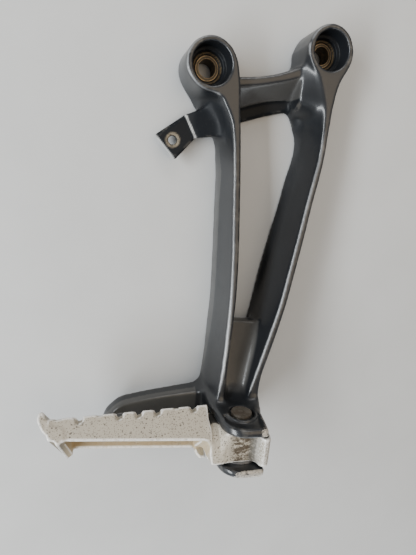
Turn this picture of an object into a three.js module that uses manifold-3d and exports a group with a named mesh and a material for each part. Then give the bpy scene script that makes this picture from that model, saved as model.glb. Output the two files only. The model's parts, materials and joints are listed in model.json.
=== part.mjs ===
// Folding passenger foot peg with its cast hanger bracket.
// Millimetres, +Z up. The origin is the centre of the left mounting boss, on the face that seats on the
// motorcycle frame. +Z points outwards along the mounting bolts and +Y is parallel to the hinge pin.
import * as THREE from 'three';
import { ConvexGeometry } from 'three/addons/geometries/ConvexGeometry.js';
import { mergeVertices } from 'three/addons/utils/BufferGeometryUtils.js';
import Module from 'manifold-3d';

const wasm = await Module();
wasm.setup();

// ---------------------------------------------------------------- driving dimensions
const BOSS_RADIUS = 14;
const BOSS_HEIGHT = 23.5;
const RIGHT_BOSS = [70, 18.3];       // centre of the right boss
const COUNTERBORE_RADIUS = 11;
const COUNTERBORE_FLOOR = 13.5;
const LEDGE_RADIUS = 8.8;
const LEDGE_FLOOR = 11.2;
const SLEEVE_RADIUS = 6.7;
const SLEEVE_BORE_RADIUS = 5;
const SLEEVE_LENGTH = 10.9;

const PIN_X = 28.8;
const PIN_Z = 50;
const PIN_RADIUS = 4;
const PIN_HEAD_RADIUS = 6.1;
const PIN_HEAD_THICKNESS = 2.2;
const PIN_TAIL = 8;                  // how far the pin stands out under the lower ear
const WASHER_RADIUS = 7.4;
const WASHER_THICKNESS = 1.4;
const COTTER_RADIUS = 0.95;          // the split pin's wire
const COTTER_HOLE_RADIUS = 1.25;
const COTTER_EYE_RADIUS = 2;
const PIN_RECESS_RADIUS = 7.6;
const PIN_RECESS_DEPTH = 2;
const RUNNING_GAP = 0.1;             // radial play of the pin in its holes
const FACE_GAP = 0.3;                // play between faces that slide or rest on each other

const EAR_TOP = -193;                // outer face of the upper ear
const EAR_THICKNESS = 5.1;
const SLOT_WIDTH = 21;
const SLOT_TOP = EAR_TOP - EAR_THICKNESS;
const SLOT_BOTTOM = SLOT_TOP - SLOT_WIDTH;
const SLOT_MIDDLE = (SLOT_TOP + SLOT_BOTTOM) / 2;
const SLOT_FLOOR = 36.3;
const EAR_BOTTOM = SLOT_BOTTOM - EAR_THICKNESS;
const WASHER_TOP = EAR_BOTTOM - FACE_GAP;
const COTTER_Y = WASHER_TOP - WASHER_THICKNESS - FACE_GAP - COTTER_HOLE_RADIUS;
const LUG_LOW = 5;                   // back and front face of the lug on the left arm
const LUG_HIGH = 9;
const LUG_HOLE = [-16.2, -40.3];
const LUG_HOLE_RADIUS = 2.5;

const BARREL_RADIUS = 11.5;
const PLATE_RADIUS = 12.4;           // the click plate between the lower ear and the knuckle
const PLATE_THICKNESS = 0.8;
const PLATE_GAP = 0.15;
const TRACK_HALF_WIDTH = 2.3;
const KNUCKLE_TOP = SLOT_TOP - FACE_GAP;
const KNUCKLE_BOTTOM = SLOT_BOTTOM + PLATE_GAP + PLATE_THICKNESS + FACE_GAP;

const PEG_WIDTH = 27;
const PEG_NEAR_SIDE = 8.6;           // outer side of the near wall, from the pin
const PEG_FAR_SIDE = PEG_NEAR_SIDE - PEG_WIDTH;
const PEG_WALL = 3.2;
const PEG_ROLL = Math.PI / 4;        // the tread is turned this far about the peg's length
const PEG_ROOT = 19.6;               // distance from the pin where the channel begins
const PEG_TIP = 104;                 // distance from the pin where the end lip begins
const CROWN_ROOT = 17.5;             // height of the tooth crowns over the pin, at the root and the tip
const CROWN_TIP = 14.7;
const EDGE_ROOT = -2.7;              // height of the wall edges, at the root and the tip
const EDGE_TIP = 3.4;
const FAR_EDGE_RISE = 0.9;           // the far wall is this much lower than the near one
const PLATE_UNDER_ROOT = 9;          // underside of the tread plate, at the root and the tip
const PLATE_UNDER_TIP = 7.4;
const TOOTH_PITCH = 10.65;
const TOOTH_COUNT = 8;
const TOOTH_TOP = 4.4;
const TOOTH_FLARE = 1;               // each notch is this much narrower at its floor, on each side
const FIRST_TOOTH = 23.1;
const DEEP_NOTCH = 5;
const SHALLOW_NOTCH = 1.5;
const NOTCH_SLOPE = 0.42;            // the floor of a notch climbs this steeply from the near side
const NOTCH_CLIMB = 0.7;             // by this share of the notch's depth
const SHALLOW_AFTER = [1, 5, 7];     // the notches after these teeth are shallow
const LIP_SKEW = 5;                  // the lip is this much nearer to the pin on its far side
const LIP_FAR_FOOT = 2.4;            // and its foot is this much lower there

const BALL_RADIUS = 2.5;
const BALL_RING = 8.6;               // distance of the detent ball from the pin
const BALL_PLAY = 0.15;
const BALL_STANDS_OUT = 0.9;         // how far the ball stands out of the knuckle
const BALL_Y = KNUCKLE_BOTTOM - BALL_STANDS_OUT + BALL_RADIUS;
const SPRING_TURNS = 5;
const SPRING_WIRE = 0.45;
const SPRING_LENGTH = 8;

const ROUND = 48;                    // facets of a full circle
const OVERLAP = 0.5;                 // joined solids run this far into each other
const THROUGH = 60;                  // length of a cut that goes right through its piece

// ---------------------------------------------------------------- making solids
function solid(geometry) {
  geometry.deleteAttribute('normal');
  geometry.deleteAttribute('uv');
  const body = mergeVertices(geometry, 1e-4);
  return new wasm.Manifold(new wasm.Mesh({
    numProp: 3,
    vertProperties: new Float32Array(body.attributes.position.array),
    triVerts: new Uint32Array(body.index.array),
  }));
}

function join(solids) {
  return solids.reduce((sum, next) => sum.add(next));
}

function hull(points) {
  return solid(new ConvexGeometry(points.map((point) => new THREE.Vector3(...point))));
}

// One hull between each section and the next.
function loft(sections) {
  const hulls = [];
  for (let i = 1; i < sections.length; i += 1) {
    hulls.push(hull([...sections[i - 1], ...sections[i]]));
  }
  return join(hulls);
}

function cylinder(radius, length, middle, axis) {
  const geometry = new THREE.CylinderGeometry(radius, radius, length, ROUND);
  if (axis === 'z') {
    geometry.rotateX(Math.PI / 2);
  }
  return solid(geometry.translate(...middle));
}

function box(low, high) {
  const size = high.map((value, i) => value - low[i]);
  const middle = high.map((value, i) => (value + low[i]) / 2);
  return solid(new THREE.BoxGeometry(...size).translate(...middle));
}

// An outline in X and Z, extruded along Y from low to high.
function prismAlongY(outline, low, high) {
  const shape = new THREE.Shape(outline.map(([x, z]) => new THREE.Vector2(x, z)));
  const geometry = new THREE.ExtrudeGeometry(shape, { depth: high - low, bevelEnabled: false });
  geometry.rotateX(Math.PI / 2);
  return solid(geometry.translate(0, high, 0));
}

function mesh(name, body, material) {
  const { vertProperties, triVerts } = body.getMesh();
  const geometry = new THREE.BufferGeometry();
  geometry.setAttribute('position', new THREE.BufferAttribute(vertProperties, 3));
  geometry.setIndex(new THREE.BufferAttribute(triVerts, 1));
  const part = new THREE.Mesh(geometry, material);
  part.name = name;
  return part;
}

function metal(color, roughness, metalness) {
  return new THREE.MeshStandardMaterial({ color, roughness, metalness });
}

// ---------------------------------------------------------------- hanger bracket
// An arm's section at one y: its narrow outer face from left to right at height top, and its foot.
function armSection([y, left, right, top, footLeft, footRight, foot]) {
  return [[left, y, top], [right, y, top], [footRight, y, foot], [footLeft, y, foot]];
}

function leftArm() {
  return loft([
    [0, -13.8, 15.6, 23.5, -14, 16.4, 0],
    [-5.6, -12.3, 16.8, 23.5, -12.8, 18, 0],
    [-10.6, -6.3, 17.3, 23.5, -10.2, 19, 0],
    [-13.2, -0.5, 17.6, 23.5, -8.6, 19.4, 0],
    [-15.4, 5.4, 17.8, 23.5, -7.3, 19.7, 0],
    [-20.5, 10, 18.4, 23.5, -3.4, 20.4, 0],
    [-27.3, 13.7, 19.2, 23.6, 3, 21.2, 0],
    [-36, 15.5, 20.2, 24.2, 9.6, 22.2, 0],
    [-50, 16.9, 21.3, 25.4, 12.6, 23.6, 0],
    [-78, 18.7, 23.1, 27.9, 14.6, 25.6, 0],
    [-110, 20.4, 24.6, 31, 16.4, 27.4, 0],
    [-132, 20.6, 24.6, 33.2, 17.3, 27.6, 0],
    [-152, 20, 23.6, 35.1, 17, 27, 0],
    [-172, 18.9, 22.4, 37, 15.6, 26.4, 4],
    [-192, 16.6, 21.6, 39, 13, 27, 8],
  ].map(armSection));
}

function rightArm() {
  return loft([
    [18.3, 56, 84, 23.5, 56, 84, 0],
    [14.4, 57, 83.9, 23.5, 56.2, 84, 0],
    [8.8, 61.2, 82, 23.5, 54.4, 82.6, 0],
    [3.1, 65.2, 79.2, 23.5, 53.8, 80.4, 0],
    [-3.5, 68.6, 77.4, 23.5, 54.6, 78.8, 0],
    [-9.7, 71, 76.6, 23.5, 57.4, 78.2, 0],
    [-18, 71.8, 75.9, 23.5, 61, 77.6, 0],
    [-30, 71.6, 75.5, 23.6, 63.6, 77.4, 0],
    [-42, 70.8, 74.6, 24.7, 64, 76.8, 0],
    [-54, 68.6, 72.7, 25.8, 62.6, 75, 0],
    [-67.5, 65.9, 70, 27, 60.8, 72.4, 0],
    [-91, 61.6, 66, 29.2, 57, 68.4, 0],
    [-113, 57.3, 61.8, 31.3, 53.2, 64.4, 0],
    [-132, 53.4, 57.9, 33.2, 49.8, 60.6, 0],
    [-152, 47.8, 52.6, 35.2, 45, 56, 0],
    [-165.5, 43.8, 48.6, 36.4, 41.6, 52.4, 3],
    [-176.3, 40.6, 45.4, 37.3, 38.8, 50, 5],
    [-192, 36, 43.4, 38.6, 35, 47, 8],
  ].map(armSection));
}

// The low flange round the triangular opening, on the right arm's side.
function openingFlange() {
  return loft([
    [-12, 52, 66],
    [-20.8, 59.2, 66],
    [-31, 61.9, 66],
    [-43.5, 61.6, 66],
    [-56, 59.8, 65],
    [-72, 57.4, 63],
    [-93, 53.4, 60],
    [-116, 49.2, 56],
    [-140, 46, 52],
    [-156, 44.4, 50],
  ].map(([y, edge, inner]) => [[edge, y, 0], [edge + 0.6, y, 5], [inner, y, 5], [inner, y, 0]]));
}

// The right arm's side over the end of the cross bar: a gentle slope to an edge, then a drop.
function shoulder() {
  return loft([
    [14, 56.3, 20.5, 57.4],
    [8.8, 56.1, 18.3, 61.4],
    [3.1, 56.1, 17.6, 65.4],
    [-3.5, 56.2, 17.2, 68.8],
    [-9.7, 56.7, 16, 71.2],
    [-12, 57.2, 14, 71.5],
    [-15, 58.6, 9, 71.8],
    [-18, 60.8, 3, 72],
  ].map(([y, edge, height, ridge]) => [
    [edge, y, 0], [edge, y, height], [ridge, y, 23.3], [ridge + 1, y, 23.3], [ridge + 1, y, 0],
  ]));
}

// The bar between the arms: a narrow outer face with a long slope under it.
function crossBar() {
  return loft([
    [13, -3.4, -8.6, -19, -27],
    [22.4, -1.9, -6.4, -17.8, -26.4],
    [30, -0.5, -5, -15, -23.8],
    [40.8, 2.5, -2, -11.4, -19.8],
    [49.2, 5.9, 0.6, -9.6, -17.2],
    [55, 8.6, 3, -8.8, -15.6],
    [64, 12, 6, -8.8, -15],
  ].map(([x, back, front, edge, foot]) => [
    [x, back, 17], [x, front, 17], [x, edge, 6], [x, foot, 0], [x, back + 1.5, 0],
  ]));
}

// The recessed floor between the arms, above the clevis.
function webFloor() {
  return loft([
    [-147.8, 24, 47, 7, 14.2],
    [-165, 23, 45.5, 12, 20.4],
    [-180, 22, 43, 16, 26],
    [-193, 21, 41, 20, 31],
  ].map(([y, left, right, low, high]) => [
    [left, y, low], [right, y, low], [right, y, high], [left, y, high],
  ]));
}

// The lug for a guard, bent off the left arm, with its screw hole.
function lug() {
  const stub = hull([
    [-9.4, -24.6, LUG_LOW], [-9.4, -24.6, LUG_HIGH], [-3.2, -37.6, LUG_LOW], [-3.2, -37.6, LUG_HIGH],
    [3, -19, 1], [4, -19, 10], [12, -33.5, 1], [14, -33.5, 10],
  ]);
  const outline = [[-9, -24.8], [-26.7, -38.5], [-14.1, -51.4], [-2.8, -37.8]];
  const plate = hull(outline.flatMap(([x, y]) => [[x, y, LUG_LOW], [x, y, LUG_HIGH]]));
  return stub.add(plate).subtract(cylinder(LUG_HOLE_RADIUS, THROUGH, [...LUG_HOLE, LUG_LOW], 'z'));
}

// The finger that carries the folded peg.
function hook() {
  const finger = loft([
    [16, -190, -194, -213],
    [-8, -193.2, -195.4, -211.5],
    [-22, -195.2, -196.8, -211],
    [-32, -197, -198.6, -211.5],
    [-39.5, -199, -201.2, -213],
    [-44.5, -203, -205.4, -215.5],
    [-48.5, -208.4, -210.6, -218],
    [-50.4, -213.8, -214.8, -219.5],
  ].map(([x, back, ridge, front]) => [
    [x, back, 14], [x, ridge, 21], [x, front, 21], [x, front - 1, 12], [x, back + 0.6, 12],
  ]));
  const rest = hull([
    [-42, -206, 20.5], [-42, -213, 20.5], [-34, -206, 20.5], [-34, -213, 20.5],
    [-41, -207.5, 25], [-41, -210.5, 25], [-35, -207.5, 25], [-35, -210.5, 25],
  ]);
  return finger.add(rest);
}

// The two ears and the block that joins them. The outline is in X and Z about the pin.
function clevis() {
  const round = [];
  for (let step = 0; step <= 8; step += 1) {
    const angle = THREE.MathUtils.lerp(Math.PI, Math.PI / 2, step / 8);
    round.push([-1 + 13.6 * Math.cos(angle), 5.4 + 13.6 * Math.sin(angle)]);
  }
  const outline = [
    [-15.8, -42], [-16.4, -14], [-15.2, -6], ...round,
    [9.2, 19.2], [10.2, 18.4], [11.2, 13], [13.2, -1.6], [16.4, -16], [17.6, -30], [17.6, -42],
  ].map(([x, z]) => [PIN_X + x, PIN_Z + z]);
  const block = prismAlongY(outline, EAR_BOTTOM, EAR_TOP);
  const slotLow = [PIN_X - THROUGH, SLOT_BOTTOM, SLOT_FLOOR];
  const slot = box(slotLow, [PIN_X + THROUGH, SLOT_TOP, PIN_Z + THROUGH]);
  const hole = cylinder(PIN_RADIUS + RUNNING_GAP, THROUGH, [PIN_X, SLOT_MIDDLE, PIN_Z], 'y');
  const recess = cylinder(PIN_RECESS_RADIUS, 2 * PIN_RECESS_DEPTH, [PIN_X, EAR_TOP, PIN_Z], 'y');
  return { block, cuts: [slot, hole, recess] };
}

function bossCuts([x, y]) {
  return [
    cylinder(COUNTERBORE_RADIUS, THROUGH, [x, y, COUNTERBORE_FLOOR + THROUGH / 2], 'z'),
    cylinder(LEDGE_RADIUS, THROUGH, [x, y, LEDGE_FLOOR + THROUGH / 2], 'z'),
    cylinder(SLEEVE_RADIUS + RUNNING_GAP, THROUGH, [x, y, 0], 'z'),
  ];
}

function hanger() {
  const bosses = [[0, 0], RIGHT_BOSS].map(([x, y]) => (
    cylinder(BOSS_RADIUS, BOSS_HEIGHT, [x, y, BOSS_HEIGHT / 2], 'z')
  ));
  const { block, cuts } = clevis();
  const casting = join([
    ...bosses, leftArm(), rightArm(), shoulder(), openingFlange(), crossBar(), webFloor(), lug(), block,
    hook(),
  ]);
  return casting.subtract(join([...cuts, ...bossCuts([0, 0]), ...bossCuts(RIGHT_BOSS)]));
}

function sleeve([x, y]) {
  const middle = [x, y, (FACE_GAP + SLEEVE_LENGTH) / 2];
  const tube = cylinder(SLEEVE_RADIUS, SLEEVE_LENGTH - FACE_GAP, middle, 'z');
  return tube.subtract(cylinder(SLEEVE_BORE_RADIUS, THROUGH, middle, 'z'));
}

// ---------------------------------------------------------------- peg
// The peg is built about the pin's middle: channel points are (along, across, up), where along runs from
// the pin to the tip, and up is the side that the foot stands on. place() turns them into the row frame.
const pegFrame = new THREE.Matrix4().makeBasis(
  new THREE.Vector3(-1, 0, 0),
  new THREE.Vector3(0, Math.cos(PEG_ROLL), Math.sin(PEG_ROLL)),
  new THREE.Vector3(0, Math.sin(PEG_ROLL), -Math.cos(PEG_ROLL)),
);

function place([along, across, up]) {
  return new THREE.Vector3(along, across, up).applyMatrix4(pegFrame).toArray();
}

function alongPeg(root, tip, along) {
  return THREE.MathUtils.mapLinear(along, PEG_ROOT, PEG_TIP, root, tip);
}

// A convex outline in (along, up) that runs across the peg from one side to the other.
function across(outline, low, high) {
  return hull(outline.flatMap(([along, up]) => [place([along, low, up]), place([along, high, up])]));
}

// One section of a notch, at a place across the peg.
function notchSection(start, end, floor, side) {
  return [
    [start, floor + 12], [start - 0.2, floor + DEEP_NOTCH + 1], [start + TOOTH_FLARE, floor],
    [end - TOOTH_FLARE, floor], [end + 0.2, floor + DEEP_NOTCH + 1], [end, floor + 12],
  ].map(([along, up]) => place([along, side, up]));
}

function notch(tooth) {
  const crown = FIRST_TOOTH + tooth * TOOTH_PITCH;
  const start = crown + TOOTH_TOP / 2;
  const end = tooth === TOOTH_COUNT - 1 ? PEG_TIP + 3 : crown + TOOTH_PITCH - TOOTH_TOP / 2;
  const depth = SHALLOW_AFTER.includes(tooth) ? SHALLOW_NOTCH : DEEP_NOTCH;
  const climb = depth * NOTCH_CLIMB;
  const floor = alongPeg(CROWN_ROOT, CROWN_TIP, crown) - depth;
  return loft([
    notchSection(start, end, floor - 5 * NOTCH_SLOPE, PEG_NEAR_SIDE + 5),
    notchSection(start, end, floor + climb, PEG_NEAR_SIDE - climb / NOTCH_SLOPE),
    notchSection(start, end, floor + climb, PEG_FAR_SIDE - 5),
  ]);
}

function channel() {
  const outer = hull([[PEG_NEAR_SIDE, 0, 0], [PEG_FAR_SIDE, LIP_SKEW, FAR_EDGE_RISE]].flatMap((
    [side, skew, rise],
  ) => [
    place([PEG_ROOT, side, EDGE_ROOT + rise]), place([PEG_ROOT, side, CROWN_ROOT]),
    place([PEG_TIP + 3.2 - skew, side, CROWN_TIP]), place([PEG_TIP + 3.2 - skew, side, EDGE_TIP + rise]),
  ]));
  const gusset = across([
    [PEG_ROOT, 2], [PEG_ROOT, -7.6], [PEG_ROOT + 1.6, -7.2], [PEG_ROOT + 3, -5.4],
    [PEG_ROOT + 3.7, -2.7], [PEG_ROOT + 3.7, 2],
  ], PEG_FAR_SIDE, PEG_FAR_SIDE + PEG_WALL);
  const hollow = across([
    [PEG_ROOT + 4.6, EDGE_ROOT - 12], [PEG_ROOT + 4.6, PLATE_UNDER_ROOT],
    [PEG_TIP - 3, PLATE_UNDER_TIP], [PEG_TIP - 3, EDGE_TIP - 18],
  ], PEG_FAR_SIDE + PEG_WALL, PEG_NEAR_SIDE - PEG_WALL);
  const notches = [];
  for (let tooth = 0; tooth < TOOTH_COUNT; tooth += 1) {
    notches.push(notch(tooth));
  }
  return outer.add(gusset).subtract(join([hollow, ...notches]));
}

// The turned-up lip at the tip, as sections of its outer and inner side from the foot to the top.
function lip() {
  const sections = [
    [[103.4, 2.8], [99.6, 2.8]],
    [[104.4, 3.2], [99.9, 8.8]],
    [[106.6, 4.4], [102.4, 9.6]],
    [[110.6, 8.6], [105.4, 10.4]],
    [[113, 13.2], [107.8, 13.4]],
    [[113.4, 15.6], [109.4, 16]],
    [[111.9, 18.9], [110.7, 18.9]],
  ];
  return loft(sections.map((pair, i) => pair.flatMap(([along, up]) => [
    place([along, PEG_NEAR_SIDE, up]),
    place([along - LIP_SKEW, PEG_FAR_SIDE, i === 0 ? up - LIP_FAR_FOOT : up]),
  ])));
}

// The outline is in X and Z about the pin. The heel stands on the slot's floor when the peg is down.
function knuckle() {
  const low = KNUCKLE_BOTTOM - SLOT_MIDDLE;
  const high = KNUCKLE_TOP - SLOT_MIDDLE;
  const body = prismAlongY([
    [-PEG_ROOT - OVERLAP, -11], [-6, -11], [3, -8], [10.6, 1], [12.6, 6], [13.4, 9], [13.4, 14.2],
    [12.5, 17], [10.8, 18.3], [9, 18.3], [7.4, 16.6], [6.4, 13.6], [4.6, 11.9], [2, 11.3],
    [-17.6, 12], [-PEG_ROOT - OVERLAP, 6.6],
  ], low, high);
  const barrel = cylinder(BARREL_RADIUS, high - low, [0, (low + high) / 2, 0], 'y');
  return body.add(barrel);
}

function peg() {
  const low = KNUCKLE_BOTTOM - SLOT_MIDDLE;
  const pinHole = cylinder(PIN_RADIUS + RUNNING_GAP, THROUGH, [0, 0, 0], 'y');
  const pocketDepth = SPRING_LENGTH + 2 * BALL_RADIUS;
  const pocket = cylinder(BALL_RADIUS + BALL_PLAY, 2 * pocketDepth, [-BALL_RING, low, 0], 'y');
  return join([channel(), lip(), knuckle()]).subtract(pinHole.add(pocket));
}

// ---------------------------------------------------------------- pin and small parts
function clevisPin() {
  const headLow = EAR_TOP - PIN_RECESS_DEPTH + FACE_GAP;
  const headMiddle = [PIN_X, headLow + PIN_HEAD_THICKNESS / 2, PIN_Z];
  const head = cylinder(PIN_HEAD_RADIUS, PIN_HEAD_THICKNESS, headMiddle, 'y');
  const start = headLow + OVERLAP;
  const end = EAR_BOTTOM - PIN_TAIL;
  const shank = cylinder(PIN_RADIUS, start - end, [PIN_X, (start + end) / 2, PIN_Z], 'y');
  const crossHole = cylinder(COTTER_HOLE_RADIUS, THROUGH, [PIN_X, COTTER_Y, PIN_Z], 'z');
  return head.add(shank).subtract(crossHole);
}

function washer() {
  const middle = [PIN_X, WASHER_TOP - WASHER_THICKNESS / 2, PIN_Z];
  const disc = cylinder(WASHER_RADIUS, WASHER_THICKNESS, middle, 'y');
  return disc.subtract(cylinder(PIN_RADIUS + FACE_GAP, THROUGH, middle, 'y'));
}

// A round wire along a route.
function wire(points, radius, steps) {
  const section = new THREE.Shape().absarc(0, 0, radius, 0, 2 * Math.PI);
  const extrudePath = new THREE.CatmullRomCurve3(points.map((point) => new THREE.Vector3(...point)));
  const options = { steps, curveSegments: 5, extrudePath, bevelEnabled: false };
  return solid(new THREE.ExtrudeGeometry(section, options));
}

// The eye stands out towards +Z and one leg is bent round the end of the pin.
function splitPin() {
  const shank = [
    [PIN_X, COTTER_Y, PIN_Z + 5.4], [PIN_X, COTTER_Y, PIN_Z], [PIN_X, COTTER_Y, PIN_Z - 5.2],
    [PIN_X, COTTER_Y - 0.8, PIN_Z - 6.8], [PIN_X, COTTER_Y - 2.6, PIN_Z - 7.6],
    [PIN_X, COTTER_Y - 4.6, PIN_Z - 7.6],
  ];
  const eye = [];
  const eyeMiddle = PIN_Z + 5.2 + COTTER_EYE_RADIUS;
  const eyeSteps = 10;
  const eyeMouth = 0.35;
  for (let step = 0; step <= eyeSteps; step += 1) {
    const angle = -Math.PI / 2 + eyeMouth + (step / eyeSteps) * 2 * (Math.PI - eyeMouth);
    const x = PIN_X + COTTER_EYE_RADIUS * Math.cos(angle);
    eye.push([x, COTTER_Y, eyeMiddle + COTTER_EYE_RADIUS * Math.sin(angle)]);
  }
  return wire(shank, COTTER_RADIUS, 14).add(wire(eye, COTTER_RADIUS * 0.8, 18));
}

// A thin plate on the lower ear with a curved track for the ball, a quarter turn long.
function clickPlate() {
  const low = SLOT_BOTTOM + PLATE_GAP;
  const high = low + PLATE_THICKNESS;
  const disc = cylinder(PLATE_RADIUS, PLATE_THICKNESS, [PIN_X, (low + high) / 2, PIN_Z], 'y');
  const cuts = [cylinder(PIN_RADIUS + FACE_GAP, THROUGH, [PIN_X, low, PIN_Z], 'y')];
  const steps = 30;
  for (let step = 0; step <= steps; step += 1) {
    const angle = Math.PI - (step / steps) * (Math.PI / 2);
    const middle = [PIN_X + BALL_RING * Math.cos(angle), low, PIN_Z + BALL_RING * Math.sin(angle)];
    cuts.push(cylinder(TRACK_HALF_WIDTH, THROUGH, middle, 'y'));
  }
  return disc.subtract(join(cuts));
}

function detentBall() {
  const geometry = new THREE.SphereGeometry(BALL_RADIUS, 24, 16);
  return solid(geometry.translate(PIN_X - BALL_RING, BALL_Y, PIN_Z));
}

function detentSpring() {
  const coilRadius = BALL_RADIUS - SPRING_WIRE - 0.2;
  const start = BALL_Y + BALL_RADIUS + SPRING_WIRE + FACE_GAP;
  const points = [];
  const steps = SPRING_TURNS * 8;
  for (let step = 0; step <= steps; step += 1) {
    const turn = (step / 8) * 2 * Math.PI;
    points.push([
      PIN_X - BALL_RING + coilRadius * Math.cos(turn),
      start + (SPRING_LENGTH - 2 * SPRING_WIRE - 1) * (step / steps),
      PIN_Z + coilRadius * Math.sin(turn),
    ]);
  }
  return wire(points, SPRING_WIRE, SPRING_TURNS * 12);
}

// ---------------------------------------------------------------- assembly
const part = new THREE.Group();
const castBlack = metal(0x25272a, 0.45, 0.2);
const steel = metal(0x9a8f7c, 0.45, 0.9);

part.add(mesh('hanger_bracket', hanger(), castBlack));
part.add(mesh('left_boss_sleeve', sleeve([0, 0]), steel.clone()));
part.add(mesh('right_boss_sleeve', sleeve(RIGHT_BOSS), steel.clone()));

const pegMesh = mesh('folding_peg', peg(), metal(0xd9d5c8, 0.55, 0.3));
pegMesh.position.set(PIN_X, SLOT_MIDDLE, PIN_Z);
part.add(pegMesh);

part.add(mesh('clevis_pin', clevisPin(), metal(0x7d7568, 0.4, 0.9)));
part.add(mesh('pin_washer', washer(), metal(0x8a8378, 0.5, 0.9)));
part.add(mesh('split_pin', splitPin(), metal(0x6b5a45, 0.6, 0.8)));
part.add(mesh('click_plate', clickPlate(), metal(0x8f8f8f, 0.4, 0.9)));
part.add(mesh('detent_ball', detentBall(), metal(0xb8b8b8, 0.2, 1)));
part.add(mesh('detent_spring', detentSpring(), metal(0x8c8c90, 0.35, 0.9)));

export default part;
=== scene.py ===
"""Looks of the folding foot peg and its cast hanger bracket.

The two castings are modelled as signed distance fields in millimetres, with cast fillets and rounded edges,
and stand for the faceted CAD castings. The pin, sleeves and small parts keep their CAD shapes.
Coordinates are the row frame's: +Z points out along the mounting bolts and +Y is parallel to the hinge pin.
"""
import itertools
import json
import math

import bpy
import numpy as np
from mathutils import Matrix, Vector


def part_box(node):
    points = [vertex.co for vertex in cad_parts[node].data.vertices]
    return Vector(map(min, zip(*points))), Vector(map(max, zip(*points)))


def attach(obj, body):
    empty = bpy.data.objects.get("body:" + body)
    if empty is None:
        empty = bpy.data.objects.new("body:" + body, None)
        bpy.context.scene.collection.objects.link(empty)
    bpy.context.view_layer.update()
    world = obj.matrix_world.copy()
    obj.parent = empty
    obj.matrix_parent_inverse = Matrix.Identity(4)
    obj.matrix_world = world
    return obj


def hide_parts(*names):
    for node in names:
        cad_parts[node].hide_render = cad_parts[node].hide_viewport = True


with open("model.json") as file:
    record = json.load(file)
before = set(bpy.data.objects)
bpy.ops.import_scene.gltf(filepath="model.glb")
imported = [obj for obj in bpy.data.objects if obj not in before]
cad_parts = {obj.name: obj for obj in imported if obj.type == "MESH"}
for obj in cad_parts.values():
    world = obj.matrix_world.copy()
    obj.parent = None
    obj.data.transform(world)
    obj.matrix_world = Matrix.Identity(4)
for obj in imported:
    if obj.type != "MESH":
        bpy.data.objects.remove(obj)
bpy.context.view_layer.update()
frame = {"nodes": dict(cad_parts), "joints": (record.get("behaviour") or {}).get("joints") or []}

# ---------------------------------------------------------------- sizes, in millimetres
MM = 0.001
HANGER_CELL = 0.81  # spacing of the bracket's grid, which keeps its mesh under 200,000 triangles
PEG_CELL = 0.5

joints = {joint["name"]: joint for joint in frame["joints"]}
PIN = np.array(joints["peg_fold"]["pos_m"]) / MM


def middle_mm(node):
    low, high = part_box(node)
    return np.array((low + high) / 2) / MM


LEFT_BOSS = middle_mm("left_boss_sleeve")[:2]
RIGHT_BOSS = middle_mm("right_boss_sleeve")[:2]
BOSS_RADIUS = 14
COUNTERBORE_RADIUS = 11
COUNTERBORE_FLOOR = 13.5
LEDGE_RADIUS = 8.8
LEDGE_FLOOR = 11.2
LEDGE_RING_RADIUS = 7.9  # worn bright ring on the ledge round the sleeve
SLEEVE_HOLE_RADIUS = 6.8
SLEEVE_RADIUS = 6.7
SLEEVE_INNER_RING = 5.35
SLEEVE_OUTER_RING = 6.65

EAR_TOP = -193.0
EAR_THICKNESS = 5.1
SLOT_TOP = EAR_TOP - EAR_THICKNESS
SLOT_HEIGHT = 21
SLOT_BOTTOM = SLOT_TOP - SLOT_HEIGHT
SLOT_FLOOR = 36.3
SLOT_REACH = 30
EAR_BOTTOM = SLOT_BOTTOM - EAR_THICKNESS
PIN_HOLE_RADIUS = 4.1
PIN_RECESS_RADIUS = 7.6
PIN_RECESS_DEPTH = 2
EAR_POCKET_INNER = 9.6  # shallow pocket round the pin's rim, inside the ear's edge
EAR_POCKET_EDGE = 3
EAR_POCKET_DEPTH = 1.6

# Fillets where the parts of the bracket meet, and the rounding of its outer face.
ARM_FILLET = 3
SHOULDER_FILLET = 2
BOSS_FILLET = 2.5
FACE_ROUNDING = 1.5
BAR_FILLET = 1.8
FLANGE_FILLET = 2
WEB_FILLET = 4
CLEVIS_FILLET = 5
HOOK_FILLET = 5
STUB_FILLET = 5
LUG_FILLET = 1

# Height of the bracket's outer face against y.
TOP_ROWS = [
    [40, 23.5], [-5, 23.5], [-20, 23.5], [-36, 24.2], [-50, 25.4], [-78, 27.9], [-110, 31], [-132, 33.2],
    [-152, 35.1], [-172, 37], [-192, 38.8],
]
# y, left and right edge of the outer face, left and right edge of the foot, height of the foot.
LEFT_ARM_ROWS = [
    [9, -9.5, 9.6, -10, 10.2, 0], [4, -12.8, 13.6, -13.2, 14.4, 0], [0, -13.8, 15.2, -14, 16, 0],
    [-5.6, -12.3, 16.6, -12.8, 17.8, 0], [-10.6, -6.3, 17.3, -10.2, 19, 0],
    [-13.2, -0.5, 17.6, -8.6, 19.4, 0], [-15.4, 5.4, 17.8, -7.3, 19.7, 0],
    [-20.5, 10, 18.4, -3.4, 20.4, 0], [-27.3, 13.7, 19.2, 3, 21.2, 0],
    [-36, 15.5, 20.2, 9.6, 22.2, 0], [-50, 16.9, 21.3, 12.6, 23.6, 0], [-78, 18.7, 23.1, 14.6, 25.6, 0],
    [-110, 20.4, 24.6, 16.4, 27.4, 0], [-132, 20.6, 24.6, 17.3, 27.6, 0], [-152, 20, 23.6, 17, 27, 0],
    [-172, 18.9, 22.4, 15.6, 26.4, 4], [-192, 16.6, 21.6, 13, 27, 8],
]
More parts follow.
